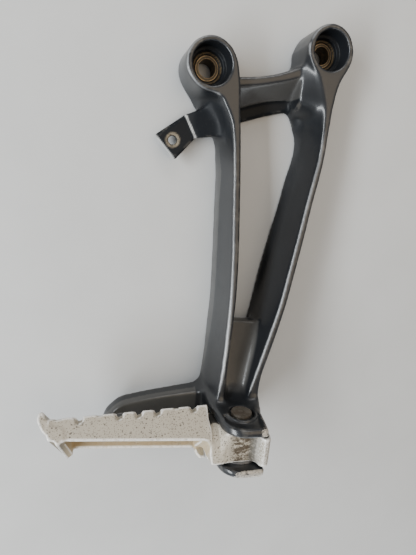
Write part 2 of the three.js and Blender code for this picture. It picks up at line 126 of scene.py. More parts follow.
RIGHT_ARM_ROWS = [
    [27, 61, 79.6, 60.6, 79.8, 0], [18.3, 56.2, 83.8, 56, 84, 0], [14.4, 57, 83.8, 56.2, 84, 0],
    [8.8, 61.2, 82, 54.4, 82.6, 0], [3.1, 65.2, 79.2, 53.8, 80.4, 0], [-3.5, 68.6, 77.4, 54.6, 78.8, 0],
    [-9.7, 71, 76.6, 57.4, 78.2, 0], [-18, 71.8, 75.9, 61, 77.6, 0], [-30, 71.6, 75.5, 63.6, 77.4, 0],
    [-42, 70.8, 74.6, 64, 76.8, 0], [-54, 68.6, 72.7, 62.6, 75, 0], [-67.5, 65.9, 70, 60.8, 72.4, 0],
    [-91, 61.6, 66, 57, 68.4, 0], [-113, 57.3, 61.8, 53.2, 64.4, 0], [-132, 53.4, 57.9, 49.8, 60.6, 0],
    [-152, 47.8, 52.6, 45, 56, 0], [-165.5, 43.8, 48.6, 41.6, 52.4, 3], [-176.3, 40.6, 45.4, 38.8, 50, 5],
    [-192, 36, 43.4, 35, 47, 8],
]
# y, edge of the flange round the opening, and a line inside the right arm.
FLANGE_ROWS = [
    [-2, 50, 66], [-12, 53, 66], [-20.8, 59.2, 66], [-31, 61.9, 66], [-43.5, 61.6, 66], [-56, 59.8, 65],
    [-72, 57.4, 63], [-93, 53.4, 60], [-116, 49.2, 56], [-140, 46, 52], [-156, 44.4, 50],
]
# x, back and front edge of the outer face, edge of the slope, front edge of the flange.
CROSS_BAR_ROWS = [
    [13, -3.4, -8.6, -19, -27], [22.4, -1.9, -6.4, -17.8, -26.4], [30, -0.5, -5, -15, -23.8],
    [40.8, 2.5, -2, -11.4, -19.8], [49.2, 5.9, 0.6, -9.6, -17.2], [55, 8.6, 3, -8.8, -15.6],
    [64, 12, 6, -8.8, -15],
]
# y, left and right edge, underside, outer side on the left and on the right of the recessed floor.
WEB_ROWS = [
    [-147.8, 24, 47, 7, 14, 16.5], [-165, 23, 45.5, 12, 20, 26], [-180, 22, 43, 16, 25.5, 31.5],
    [-187, 21.5, 42, 18, 29, 34.5], [-191, 21, 41, 20, 33, 38.5], [-195, 21, 41, 20, 40, 45],
]
# x, back edge, ridge and front edge of the finger.
HOOK_ROWS = [
    [16, -190, -194, -213], [-8, -193.2, -195.4, -211.5], [-22, -195.2, -196.8, -211],
    [-32, -197, -198.6, -211.5], [-39.5, -199, -201.2, -213], [-44.5, -203, -205.4, -215.5],
    [-48.5, -208.4, -210.6, -218], [-50.4, -213.8, -214.8, -219.5],
]
# The block on the finger that the folded peg rests on. Its left and right sides draw in by REST_DRAFT
# for each millimetre of height above REST_FOOT.
REST_LEFT = -41.6
REST_RIGHT = -34.4
REST_FRONT = -212.5
REST_BACK = -206.5
REST_LOW = 18
REST_HIGH = 25
REST_FOOT = 20
REST_DRAFT = 0.15
# y, x and height of the edge in the right arm's side, over the end of the cross bar.
SHOULDER_ROWS = [
    [19, 56.1, 22.5], [14, 56, 20.5], [10, 56, 18.6], [3, 56, 17.6], [-4, 56.2, 17.2], [-9, 56.6, 16.4],
    [-12, 57.2, 14], [-15, 58.6, 9], [-18, 60.8, 3], [-22, 62.4, 0],
]
# The lug's flat plate, and the stub that rises from it into the left arm, in x and y.
LUG_OUTLINE = [(-9, -24.8), (-26.7, -38.5), (-14.1, -51.4), (-2.8, -37.8)]
STUB_OUTLINE = [(-10.2, -25.8), (-3.2, -37.9), (11.5, -34.8), (3.5, -19)]
LUG_LOW = 5
LUG_HIGH = 9
STUB_HIGH = 9.6
STUB_SLOPE = 0.24
STUB_LENGTH = 14
LUG_HOLE = (-16.2, -40.3)
LUG_HOLE_RADIUS = 2.5
LUG_RING_RADIUS = 3.4
LUG_RING_WIDTH = 1.1

# Middles of two matte places: the foot of the recessed floor, and where the stub meets the arm.
WEB_FOOT = (31, -190, 36)
STUB_FOOT = (5, -27, 12)
RIDGE_HIGHLIGHT_LOW = 16  # no painted ridge highlights at or below this height

PEG_ROLL = math.radians(45)
PEG_NEAR_SIDE = 8.6
PEG_FAR_SIDE = -18.4
PEG_WIDTH = PEG_NEAR_SIDE - PEG_FAR_SIDE
PEG_WALL = 3.2
PEG_ROOT = 19.6
PEG_TIP = 104.0
CROWN_AT_ROOT = 17.5
CROWN_FALL = 2.8
EDGE_AT_ROOT = -2.7  # the channel's lower edge, which climbs along the peg and a little across it
EDGE_CLIMB = 6.1
EDGE_TILT = 0.9
UNDER_AT_ROOT = 9  # underside of the tread inside the channel
UNDER_FALL = 1.6
CHANNEL_PAST_TIP = 3.4
LIP_SKEW = 5
LIP_DROP = 2.4
TOOTH_COUNT = 8
TOOTH_PITCH = 10.65
FIRST_TOOTH = 23.1
TOOTH_TOP = 4.4
NOTCH_DEPTH = 5
SHALLOW_DEPTH = 1.5
SHALLOW_AFTER = (1, 5, 7)
NOTCH_SLOPE = 0.42
NOTCH_CLIMB = 0.7
NOTCH_LEAN = 2.4
NOTCH_FLARE = 1.9
KNUCKLE_TOP = SLOT_TOP - 0.3 - PIN[1]
KNUCKLE_BOTTOM = SLOT_BOTTOM + 1.25 - PIN[1]
KNUCKLE_BARREL = 11.5
KNUCKLE_OPENS_AT = -15  # right of here the knuckle comes out past the peg's near side
KNUCKLE_OPENING = 1.2
LOBE_STEP_X = 7  # the step cut into the top of the lobe starts here, right of and above the pin
LOBE_STEP_Z = 11
LOBE_STEP_DEPTH = 1.5
EAR_SWEEP = 19.2  # reach of the upper ear round the pin, with its gap
BALL_RING = 8.6
BALL_POCKET_RADIUS = 2.65
BALL_POCKET_DEPTH = 13

STREAK_TURN = math.radians(-35)

# The camera of the photo, in metres and radians.
CAMERA_PLACE = (-0.061, -0.0663, 0.2548)
CAMERA_TURN = (-0.222, -0.2803, 0.0622)
CAMERA_LENS = 35.57


# ---------------------------------------------------------------- distance fields
class Grid:
    """A regular grid in millimetres. x, y and z broadcast against a full field."""

    def __init__(self, low, high, cell):
        self.low = np.array(low, float)
        self.cell = cell
        counts = [int(math.ceil((b - a) / cell)) + 1 for a, b in zip(low, high)]
        lines = [a + cell * np.arange(n, dtype=np.float32) for a, n in zip(low, counts)]
        self.x = lines[0][:, None, None]
        self.y = lines[1][None, :, None]
        self.z = lines[2][None, None, :]


def union(a, b, fillet):
    """The nearer of two fields, with a fillet where they meet."""
    close = np.maximum(fillet - np.abs(a - b), 0) / fillet
    return np.minimum(a, b) - close * close * fillet * 0.25


def common(a, b, rounding):
    """What two fields share, with its edge rounded."""
    return -union(-a, -b, rounding)


def cut(a, b, rounding):
    return common(a, -b, rounding)


def columns(rows, at):
    """Each column of rows after the first, read at the places `at` by a smooth curve through the rows."""
    table = np.array(sorted(rows), float)
    places, values = table[:, 0], table[:, 1:]
    slopes = np.gradient(values, places, axis=0)
    flat = np.clip(at.ravel(), places[0], places[-1])
    i = np.clip(np.searchsorted(places, flat) - 1, 0, len(places) - 2)
    width = (places[i + 1] - places[i])[:, None]
    t = ((flat - places[i]) / width[:, 0])[:, None]
    smooth = (
        values[i] * (2 * t**3 - 3 * t**2 + 1)
        + slopes[i] * width * (t**3 - 2 * t**2 + t)
        + values[i + 1] * (3 * t**2 - 2 * t**3)
        + slopes[i + 1] * width * (t**3 - t**2)
    )
    return [smooth[:, j].reshape(at.shape).astype(np.float32) for j in range(values.shape[1])]


def beside(u, v, a, b):
    """Distance to the right of the line from a to b."""
    du, dv = b[0] - a[0], b[1] - a[1]
    return ((u - a[0]) * dv - (v - a[1]) * du) / np.sqrt(du * du + dv * dv)


def convex(u, v, corners, rounding):
    """Inside a convex outline whose corners run counterclockwise."""
    value = None
    for a, b in zip(corners, corners[1:] + corners[:1]):
        side = beside(u, v, a, b)
        value = side if value is None else common(value, side, rounding)
    return value


def outline(u, v, corners):
    """Exact signed distance to a closed outline of fixed corners."""
    nearest = None
    inside = False
    for (au, av), (bu, bv) in zip(corners, corners[1:] + corners[:1]):
        du, dv = bu - au, bv - av
        t = np.clip(((u - au) * du + (v - av) * dv) / (du * du + dv * dv), 0, 1)
        gap = (u - au - t * du) ** 2 + (v - av - t * dv) ** 2
        nearest = gap if nearest is None else np.minimum(nearest, gap)
        crosses = (av > v) != (bv > v)
        if bv != av:
            crosses = crosses & (u < (bu - au) * (v - av) / (bv - av) + au)
        inside = inside ^ crosses
    return np.where(inside, -1, 1) * np.sqrt(nearest)


def slab(value, low, high):
    """Inside between low and high."""
    return np.maximum(low - value, value - high)


def span(rows, value):
    """Inside between the first and the last row."""
    return slab(value, min(rows)[0], max(rows)[0])


def radial(u, v, middle):
    return np.sqrt((u - middle[0]) ** 2 + (v - middle[1]) ** 2)


def blur(value, passes):
    """A field averaged with its neighbours, the given number of times."""
    for _ in range(passes):
        for axis in range(3):
            padded = np.concatenate(
                [value.take([0], axis), value, value.take([-1], axis)], axis
            )
            n = padded.shape[axis]
            before = padded.take(range(0, n - 2), axis)
            after = padded.take(range(2, n), axis)
            value = (before + after) * 0.25 + value * 0.5
    return value.astype(np.float32)


def surface(grid, value):
    """Vertices and quads where the field changes sign: one vertex in each mixed cell."""
    n = value.shape
    shifts = list(itertools.product((0, 1), repeat=3))
    corner = {
        s: value[s[0]:n[0] - 1 + s[0], s[1]:n[1] - 1 + s[1], s[2]:n[2] - 1 + s[2]] for s in shifts
    }
    lowest = np.minimum.reduce(list(corner.values()))
    highest = np.maximum.reduce(list(corner.values()))
    cells = np.argwhere((lowest < 0) & (highest >= 0))
    number = np.full(lowest.shape, -1, np.int64)
    number[tuple(cells.T)] = np.arange(len(cells))
    at = {s: corner[s][tuple(cells.T)] for s in shifts}
    total = np.zeros((len(cells), 3))
    count = np.zeros(len(cells))
    for s, e in itertools.combinations(shifts, 2):
        if sum(abs(p - q) for p, q in zip(s, e)) != 1:
            continue
        crossed = (at[s] < 0) != (at[e] < 0)
        share = at[s][crossed] / (at[s][crossed] - at[e][crossed])
        total[crossed] += np.array(s) + share[:, None] * (np.array(e) - np.array(s))
        count[crossed] += 1
    points = grid.low + grid.cell * (cells + total / count[:, None])
    quads = []
    for axis in range(3):
        u, v = (axis + 1) % 3, (axis + 2) % 3
        ahead = np.roll(value, -1, axis) < 0
        here = value < 0
        changed = here != ahead
        edges = np.argwhere(changed)
        limits = np.array(lowest.shape)
        inside = (edges[:, axis] < limits[axis]) & (edges[:, u] > 0) & (edges[:, v] > 0)
        inside &= (edges[:, u] < limits[u]) & (edges[:, v] < limits[v])
        edges = edges[inside]
        step_u, step_v = np.eye(3, dtype=int)[u], np.eye(3, dtype=int)[v]
        ring = [edges, edges - step_u, edges - step_u - step_v, edges - step_v]
        quad = np.stack([number[tuple(corner_cells.T)] for corner_cells in ring], 1)
        outward = here[tuple(edges.T)]
        quad[~outward] = quad[~outward][:, ::-1]
        quads.append(quad)
    return points, np.concatenate(quads)


def sample(grid, value, points):
    """A field read at points, between its grid points."""
    place = (points - grid.low) / grid.cell
    base = np.clip(np.floor(place).astype(int), 0, np.array(value.shape) - 2)
    share = place - base
    result = np.zeros(len(points))
    for shift in itertools.product((0, 1), repeat=3):
        weight = np.prod(np.where(np.array(shift) == 1, share, 1 - share), axis=1)
        result += weight * value[tuple((base + shift).T)]
    return result


def make_mesh(name, points, quads, masks):
    """A smooth piece from points in millimetres. Each mask becomes a vertex attribute for its material."""
    mesh = bpy.data.meshes.new(name)
    mesh.vertices.add(len(points))
    mesh.vertices.foreach_set("co", (points * MM).astype(np.float32).ravel())
    mesh.loops.add(quads.size)
    mesh.loops.foreach_set("vertex_index", quads.astype(np.int32).ravel())
    mesh.polygons.add(len(quads))
    mesh.polygons.foreach_set("loop_start", np.arange(0, quads.size, 4, dtype=np.int32))
    mesh.update(calc_edges=True)
    mesh.validate()
    mesh.shade_smooth()
    for mask_name, values in masks.items():
        attribute = mesh.attributes.new(mask_name, "FLOAT", "POINT")
        attribute.data.foreach_set("value", values.astype(np.float32))
    piece = bpy.data.objects.new(name, mesh)
    bpy.context.scene.collection.objects.link(piece)
    return piece


def near(points, middle, reach):
    """1 at the middle, falling to 0 at the reach."""
    distance = np.linalg.norm((points - np.array(middle)) / np.array(reach), axis=1)
    return np.clip(1 - distance, 0, 1)


def stripe(distance, width, strength=1.3):
    """1 on a line and 0 beside it, with a soft edge of about the width."""
    return np.clip(strength - np.abs(distance) / width, 0, 1)


def bend_of(grid, value, points, passes):
    """How far each point stands out of the blurred shape: above 0 on edges, below 0 in hollows."""
    return sample(grid, blur(value, passes), points) - sample(grid, value, points)


# ---------------------------------------------------------------- hanger bracket
def arm(grid, rows, top, upright):
    """An arm whose left side stands upright below the height `upright`."""
    left, right, foot_left, foot_right, foot = columns(rows, grid.y)
    left_side = beside(grid.x, grid.z, (left, top), (foot_left, foot + upright))
    left_side = common(left_side, foot_left - grid.x, 0.6)
    right_side = beside(grid.x, grid.z, (foot_right, foot), (right, top))
    body = np.maximum(left_side, right_side)
    return common(np.maximum(body, foot - grid.z), span(rows, grid.y), 2)


def bosses(grid):
    left = radial(grid.x, grid.y, LEFT_BOSS) - BOSS_RADIUS
    right = radial(grid.x, grid.y, RIGHT_BOSS) - BOSS_RADIUS
    return np.minimum(left, right) + 0 * grid.z


def cross_bar(grid):
    back, front, edge, foot = columns(CROSS_BAR_ROWS, grid.x)
    upper = convex(grid.y, grid.z, [
        (back, 17), (front, 17), (edge, 6.2), (edge + 0.5, 0), (back + 1.5, 0),
    ], 1.2)
    lower = convex(grid.y, grid.z, [
        (edge + 8, 5), (edge, 4.6), (foot + 1, 3.2), (foot, 0), (edge + 8, 0),
    ], 1.2)
    return np.maximum(union(upper, lower, 0.8), span(CROSS_BAR_ROWS, grid.x))


def shoulder(grid, top):
    """Where the cross bar ends, the right arm's side slopes gently to an edge over the bar and drops."""
    left, = columns([row[:2] for row in RIGHT_ARM_ROWS], grid.y)
    edge, height = columns(SHOULDER_ROWS, grid.y)
    slope = beside(grid.x, grid.z, (np.maximum(left, edge) + 0.5, top), (edge, height))
    body = common(slope, edge - grid.x, 0.6)
    body = np.maximum(body, grid.x - left - 3)
    return np.maximum(body, slab(grid.y, -22, 18.5))


def opening_flange(grid):
    edge, inner = columns(FLANGE_ROWS, grid.y)
    body = convex(grid.x, grid.z, [(inner, 7.5), (edge + 4, 6), (edge, 0), (inner, 0)], 1.6)
    return np.maximum(body, span(FLANGE_ROWS, grid.y))


def web_floor(x, y):
    """Left and right edge, underside and outer side of the recessed floor between the arms."""
    left, right, low, high_left, high_right = columns(WEB_ROWS, y)
    share = np.clip((x - left) / (right - left), 0, 1)
    return left, right, low, high_left + (high_right - high_left) * share * share


def web(grid):
    left, right, low, high = web_floor(grid.x, grid.y)
    body = np.maximum(slab(grid.x, left, right), slab(grid.z, low, high))
    return common(body, span(WEB_ROWS, grid.y), 0.6)


def lug(grid):
    """The lug's flat plate and the stub that carries it."""
    flat = convex(grid.x, grid.y, LUG_OUTLINE, 0.8)
    plate = common(flat, slab(grid.z, LUG_LOW, LUG_HIGH), 0.8)
    stub_flat = np.maximum(convex(grid.x, grid.y, STUB_OUTLINE, 1), LUG_LOW - grid.z)
    rise = np.clip(beside(grid.x, grid.y, STUB_OUTLINE[1], STUB_OUTLINE[0]), 0, STUB_LENGTH) * STUB_SLOPE
    stub = common(stub_flat, grid.z - STUB_HIGH - rise, 0.8)
    return plate, stub


def hook(grid):
    """The finger under the folded peg, with the small block that the peg rests on."""
    back, ridge, front = columns(HOOK_ROWS, grid.x)
    finger = convex(grid.y, grid.z, [
        (back, 14), (back + 0.6, 12), (front - 1, 12), (front, 21), (ridge, 21),
    ][::-1], 1.2)
    finger = common(finger, span(HOOK_ROWS, grid.x), 2)
    draft = (grid.z - REST_FOOT) * REST_DRAFT
    rest = slab(grid.x, REST_LEFT + draft, REST_RIGHT - draft)
    rest = np.maximum(rest, slab(grid.y, REST_FRONT, REST_BACK))
    rest = common(rest, slab(grid.z, REST_LOW, REST_HIGH), 1.5)
    return union(finger, rest, 2)


def ear_outline(grid):
    """The clevis seen along the pin, in x and z."""
    arc = [
        (-1 + 13.6 * math.cos(angle), 5.4 + 13.6 * math.sin(angle))
        for angle in np.linspace(math.pi, math.pi / 2, 9)
    ]
    about_pin = [
        (-15.8, -42), (-16.4, -14), (-15.2, -6), *arc, (9.2, 19.2), (10.2, 18.4), (11.2, 13), (13.2, -1.6),
        (16.4, -16), (17.6, -30), (17.6, -42),
    ]
    corners = [(PIN[0] + x, PIN[2] + z) for x, z in about_pin]
    return outline(grid.x, grid.z, corners)


def hanger_field(grid):
    top, = columns(TOP_ROWS, grid.y)
    upright = np.clip((-grid.y - 30) / 40, 0, 1) * 9
    left_arm = arm(grid, LEFT_ARM_ROWS, top, upright)
    arms = union(left_arm, arm(grid, RIGHT_ARM_ROWS, top, 0), ARM_FILLET)
    arms = union(arms, shoulder(grid, top), SHOULDER_FILLET)
    body = union(arms, bosses(grid), BOSS_FILLET)
    body = common(body, grid.z - top, FACE_ROUNDING)
    body = union(body, cross_bar(grid), BAR_FILLET)
    body = union(body, opening_flange(grid), FLANGE_FILLET)
    body = union(body, web(grid), WEB_FILLET)
    ears = ear_outline(grid)
    clevis = common(ears, slab(grid.y, EAR_BOTTOM, EAR_TOP), 3)
    body = union(body, clevis, CLEVIS_FILLET)
    body = union(body, hook(grid), HOOK_FILLET)
    plate, stub = lug(grid)
    body = union(union(body, stub, STUB_FILLET), plate, LUG_FILLET)
    body = common(body, -grid.z, 1)
    return cut_hanger(grid, blur(body, 1), ears)


def cut_hanger(grid, body, ears):
    """The bracket with its counterbores, recesses, slot and holes."""
    for boss in (LEFT_BOSS, RIGHT_BOSS):
        distance = radial(grid.x, grid.y, boss)
        body = cut(body, np.maximum(distance - COUNTERBORE_RADIUS, COUNTERBORE_FLOOR - grid.z), 1.2)
        body = cut(body, np.maximum(distance - LEDGE_RADIUS, LEDGE_FLOOR - grid.z), 0.6)
        body = cut(body, distance - SLEEVE_HOLE_RADIUS + 0 * grid.z, 0.5)
    pin_distance = radial(grid.x, grid.z, (PIN[0], PIN[2]))
    pocket = np.maximum(ears + EAR_POCKET_EDGE, EAR_POCKET_INNER - pin_distance)
    pocket = np.maximum(pocket, PIN[2] + 1 - grid.z)
    body = cut(body, np.maximum(pocket, EAR_TOP - EAR_POCKET_DEPTH - grid.y), 1)
    recess = np.maximum(pin_distance - PIN_RECESS_RADIUS, EAR_TOP - PIN_RECESS_DEPTH - grid.y)
    body = cut(body, recess, 0.7)
    body = cut(body, pin_distance - PIN_HOLE_RADIUS, 0.4)
    slot = np.maximum(slab(grid.y, SLOT_BOTTOM, SLOT_TOP), SLOT_FLOOR - grid.z)
    slot = np.maximum(slot, np.abs(grid.x - PIN[0]) - SLOT_REACH)
    body = cut(body, slot, 0.8)
    hole = radial(grid.x, grid.y, LUG_HOLE) - LUG_HOLE_RADIUS
    return cut(body, np.maximum(hole, slab(grid.z, LUG_LOW - 3, LUG_HIGH + 5)), 0.5)


def bracket_wear(points):
    """Bare metal on the corner of the upper ear and along the rim of the lower one."""
    y, z = points[:, 1], points[:, 2]
    corner = near(points, (PIN[0] + 9, EAR_TOP - 2.5, PIN[2] + 18.5), (6.5, 5, 6))
    lower_rim = near(points, (PIN[0] + 3, (SLOT_BOTTOM + EAR_BOTTOM) / 2, PIN[2] + 18), (14, 6, 7))
    lower_rim = lower_rim * ((y < SLOT_BOTTOM - 0.3) | (z > PIN[2] + 17.4))
    return np.clip(np.maximum(corner * 1.6, lower_rim * 2.3), 0, 1)


def bracket_painted_sheen_and_dust(points):
    """Dull greyish paint on a band up the left arm's foot, on the cross bar's face and on the recessed floor,
    which is painted sheen of reflected light, and on the finger.

    Gives that mask, the floor's share of it, and the bar's shaded flange.
    """
    x, y, z = points.T
    foot_left, = columns([[row[0], row[3]] for row in LEFT_ARM_ROWS], y)
    band = (x < foot_left + 1) * (x > foot_left - 2) * (z < 10.5)
    band = band * np.clip((-y - 35) / 20, 0, 1) * (y > -186)
    _, front, edge, foot = columns(CROSS_BAR_ROWS, x)
    on_bar = (x > 19) * (x < 57) * (y < front - 0.3) * (z < 17)
    bar_face = on_bar * (y > edge + 0.2) * (z > 5)
    bar_flange = on_bar * (y <= edge + 0.2) * (y > foot - 2) * (z < 6)
    finger = (x < 8) * (y < -192) * (y > -216) * (z > 17) * (z < 30)
    left, right, _, high = web_floor(x, y)
    on_web = stripe(z - high, 1.6, 1.6) * (x > left - 3) * (x < right + 3)
    on_web = on_web * np.clip((y + 190) / 8, 0, 1) * (y < -147)
    dust_and_painted_sheen = np.maximum.reduce([band * 0.6, bar_face * 0.75, finger * 0.7, on_web])
    return dust_and_painted_sheen, on_web, bar_flange


def left_ridge_highlights(grid, value, points, bend, boss_distance):
    """Painted highlight: near-white paint on the edges of the outer face that look left towards the key
    light, thinner round the bosses.
    """
    y, z = points[:, 1], points[:, 2]
    step = (0.7, 0, 0)
    left_facing = sample(grid, value, points - step) - sample(grid, value, points + step)
    outer = np.clip((z - RIDGE_HIGHLIGHT_LOW) / 4, 0, 1) * np.clip((y - EAR_TOP) / 6, 0, 1)
    on_boss = np.clip((BOSS_RADIUS + 1.5 - boss_distance) / 3, 0, 1)
    ridge = np.clip(bend * 5 - 1.25 - on_boss * 0.8, 0, 1) * np.clip(left_facing * 3.5, 0, 1) * outer
    return ridge * np.clip(boss_distance - COUNTERBORE_RADIUS - 1, 0.35, 1)


def make_hanger():
    grid = Grid((-54, -228, -3), (88, 36, 73), HANGER_CELL)
    value = hanger_field(grid).astype(np.float32)
    points, quads = surface(grid, value)
    bend = bend_of(grid, value, points, 4)
    x, y, z = points.T
    lug_ring = 1 - np.abs(radial(x, y, LUG_HOLE) - LUG_RING_RADIUS) / LUG_RING_WIDTH
    lug_ring = np.clip(lug_ring * 1.5, 0, 1) * (z > LUG_HIGH - 1)
    lug_end = beside(x, y, LUG_OUTLINE[1], LUG_OUTLINE[2])
    lug_bend = beside(x, y, STUB_OUTLINE[1], STUB_OUTLINE[0])
    on_lug = (convex(x, y, LUG_OUTLINE, 0.1) < 0.6) * (z > LUG_LOW - 1)
    on_stub = (convex(x, y, STUB_OUTLINE, 0.1) < 1.5) * (z > LUG_HIGH - 1) * (x < -2)
    # painted highlight lines along the lug's end edge and the bend into the stub
    line = np.maximum(
        stripe(lug_end, 0.55) * on_lug * 0.7,
        stripe(lug_bend - 0.3, 0.6) * on_stub * 0.85,
    )
    boss_distance = np.minimum(radial(x, y, LEFT_BOSS), radial(x, y, RIGHT_BOSS))
    on_ledge = (z < COUNTERBORE_FLOOR + 0.6) * (z > LEDGE_FLOOR - 0.8)
    dust_and_painted_sheen, on_web, bar_flange = bracket_painted_sheen_and_dust(points)
    web_foot = near(points, WEB_FOOT, (12, 9, 12))
    stub_foot = near(points, STUB_FOOT, (13, 17, 12))
    return make_mesh("hanger_casting", points, quads, {
        "edge": np.clip(bend * 3, 0, 1),
        "hollow": np.clip(-bend * 3, 0, 1),
        "wear": bracket_wear(points),
        "lug_ring": lug_ring,
        "line": line,
        "ridge": left_ridge_highlights(grid, value, points, bend, boss_distance),
        "brass": stripe(boss_distance - LEDGE_RING_RADIUS, 0.35, 1.5) * on_ledge,
        "dust_and_painted_sheen": dust_and_painted_sheen,
        "matte": np.maximum.reduce([
            on_lug * (lug_bend < 0), (boss_distance < COUNTERBORE_RADIUS + 0.2) * 1.0, bar_flange * 0.9,
            np.clip(web_foot * 2, 0, 1), on_web * 0.6, np.clip(stub_foot * 2.6, 0, 1),
        ]),
    })


# ---------------------------------------------------------------- peg
def knuckle_outline(grid):
    """The knuckle seen along the pin, about the pin, in x and z."""
    root = -PEG_ROOT - 1
    corners = [
        (root, -11), (-6, -11), (3, -8), (10.6, 1), (12.6, 6), (13.4, 9), (13.4, 14.2), (12.5, 17),
        (10.8, 18.3), (9, 18.3), (7.4, 16.6), (6.4, 13.6), (4.6, 11.9), (2, 11.3), (-17.6, 12), (root, 6.6),
    ]
    return outline(grid.x, grid.z, corners)


def lip_outline(along, up):
    """The lip at the peg's tip, seen from its near side."""
    corners = [
        (102.6, 0.6), (104.4, 3.2), (106.6, 4.4), (110.6, 8.6), (113, 13.2), (113.4, 15.6), (112.6, 18.2),
        (111.3, 18.9), (110.4, 18.4), (109.4, 16), (107.8, 13.4), (105.4, 10.4), (102.4, 9.6), (99.9, 8.8),
        (99.6, 2.8),
    ]
    return outline(along, up, corners)


def peg_frame(x, y, z):
    """Distances from the pin along the peg, across its tread and up out of the tread."""
    cos, sin = math.cos(PEG_ROLL), math.sin(PEG_ROLL)
    return -x, y * cos + z * sin, y * sin - z * cos


def crown(along):
    """Height of the tooth tops, which falls towards the tip."""
    return CROWN_AT_ROOT - CROWN_FALL * (along - PEG_ROOT) / (PEG_TIP - PEG_ROOT)


def channel(along, across, up, sides):
    """The tread as a channel, open below, with the gusset at its root."""
    share = (PEG_NEAR_SIDE - across) / PEG_WIDTH
    length = (along - PEG_ROOT) / (PEG_TIP - PEG_ROOT)
    edge = EDGE_AT_ROOT + EDGE_CLIMB * length + EDGE_TILT * share
    under = UNDER_AT_ROOT - UNDER_FALL * length
    end = PEG_TIP + CHANNEL_PAST_TIP - LIP_SKEW * share
    body = common(sides, np.maximum(up - crown(along), edge - up), 0.9)
    body = np.maximum(body, slab(along, PEG_ROOT, end))
    gusset = outline(along, up, [
        (PEG_ROOT - 2, 4), (PEG_ROOT - 2, -7.9), (PEG_ROOT + 1.4, -7.9), (PEG_ROOT + 3.2, -6),
        (PEG_ROOT + 4, -3.8), (PEG_ROOT + 4.2, 4),
    ])
    body = union(body, common(gusset, slab(across, PEG_FAR_SIDE, PEG_FAR_SIDE + PEG_WALL), 0.4), 0.6)
    hollow = np.maximum(slab(across, PEG_FAR_SIDE + PEG_WALL, PEG_NEAR_SIDE - PEG_WALL), up - under)
    hollow = np.maximum(hollow, slab(along, PEG_ROOT + 4.6, PEG_TIP - 3))
    return cut(body, hollow, 1)


def cut_notches(body, along, across, up):
    """The notches between the teeth. Their floors climb from the near side and lean towards the tip."""
    for tooth in range(TOOTH_COUNT):
        middle = FIRST_TOOTH + tooth * TOOTH_PITCH
        start = middle + TOOTH_TOP / 2
        last = tooth == TOOTH_COUNT - 1
        stop = PEG_TIP + 3 if last else middle + TOOTH_PITCH - TOOTH_TOP / 2
        depth = SHALLOW_DEPTH if tooth in SHALLOW_AFTER else NOTCH_DEPTH
        lean = np.clip((along - start) / (stop - start), 0, 1) * NOTCH_LEAN * depth / NOTCH_DEPTH
        lean = lean - (NOTCH_LEAN - 0.4) * depth / NOTCH_DEPTH
        rise = np.clip((PEG_NEAR_SIDE - across) * NOTCH_SLOPE, 0, depth * NOTCH_CLIMB) - lean
        floor = crown(middle) - depth + rise
        flare = np.clip((floor + 5 - up) / 5, 0, 1)
        bevel = np.clip(PEG_NEAR_SIDE - across, 0, 1.8) * 0.8
        notch = np.maximum(slab(along, start + flare, stop - flare * NOTCH_FLARE - bevel), floor - up)
        body = cut(body, notch, 0.3)
    return body


def knuckle(grid, across):
    """The lobed knuckle with the flank at its root. On its left it keeps to the peg's near side."""
    flank = convex(grid.x, grid.y, [
        (-22.6, 4.6), (-19.4, KNUCKLE_BOTTOM), (-12, KNUCKLE_BOTTOM), (-12, 4.6),
    ], 0.6)
    flank = common(flank, slab(grid.z, 0, 12), 0.5)
    height = slab(grid.y, KNUCKLE_BOTTOM, KNUCKLE_TOP)
    body = union(common(knuckle_outline(grid), height, 0.9), flank, 0.5)
    opening = np.maximum(grid.x - KNUCKLE_OPENS_AT, 0) * KNUCKLE_OPENING
    body = common(body, across - PEG_NEAR_SIDE - opening, 4)
    barrel = common(radial(grid.x, grid.z, (0, 0)) - KNUCKLE_BARREL, height, 1)
    return union(body, barrel, 1)


def cut_peg(grid, body):
    """Room for the upper ear, the pin's hole and the ball's pocket."""
    pin_distance = radial(grid.x, grid.z, (0, 0))
    body = cut(body, np.maximum(pin_distance - EAR_SWEEP, KNUCKLE_TOP - grid.y), 0.4)
    over_lobe = np.maximum(LOBE_STEP_X - grid.x, LOBE_STEP_Z - grid.z)
    over_lobe = np.maximum(over_lobe, KNUCKLE_TOP - LOBE_STEP_DEPTH - grid.y)
    body = cut(body, over_lobe, 0.8)
    body = cut(body, pin_distance - PIN_HOLE_RADIUS, 0.4)
    pocket = radial(grid.x, grid.z, (-BALL_RING, 0)) - BALL_POCKET_RADIUS
    return cut(body, np.maximum(pocket, grid.y - KNUCKLE_BOTTOM - BALL_POCKET_DEPTH), 0.4)


def peg_field(grid):
    """About the pin's middle, in the row frame's directions."""
    along, across, up = peg_frame(grid.x, grid.y, grid.z)
    share = (PEG_NEAR_SIDE - across) / PEG_WIDTH
    sides = slab(across, PEG_FAR_SIDE, PEG_NEAR_SIDE)
    body = cut_notches(channel(along, across, up, sides), along, across, up)
    drop = np.clip((9 - up) / 8, 0, 1) * LIP_DROP * share
    lip = common(lip_outline(along + LIP_SKEW * share, up + drop), sides, 1)
    body = union(body, lip, 1.5)
    return cut_peg(grid, union(body, knuckle(grid, across), 2.5))


def peg_grease_and_painted_shade(points, inner, along):
    """Black on the faces that the ears hide, which is grease and painted shade of the slot; painted shade
    deep in the channel's tip and in the gap over the lobe.
    """
    x, y, z = points.T
    level = np.minimum(np.abs(y - KNUCKLE_TOP), np.abs(y - KNUCKLE_BOTTOM))
    hidden = (level < 0.5) * (radial(x, z, (0, 0)) < EAR_SWEEP + 0.2) * (z < 15)
    tip = inner * np.clip((along - 96) / 6, 0, 0.7)
    over_lobe = (x > 6) * (y > KNUCKLE_TOP - 1.9) * (y < 12)
    return np.maximum.reduce([hidden.astype(float), tip, over_lobe.astype(float)])


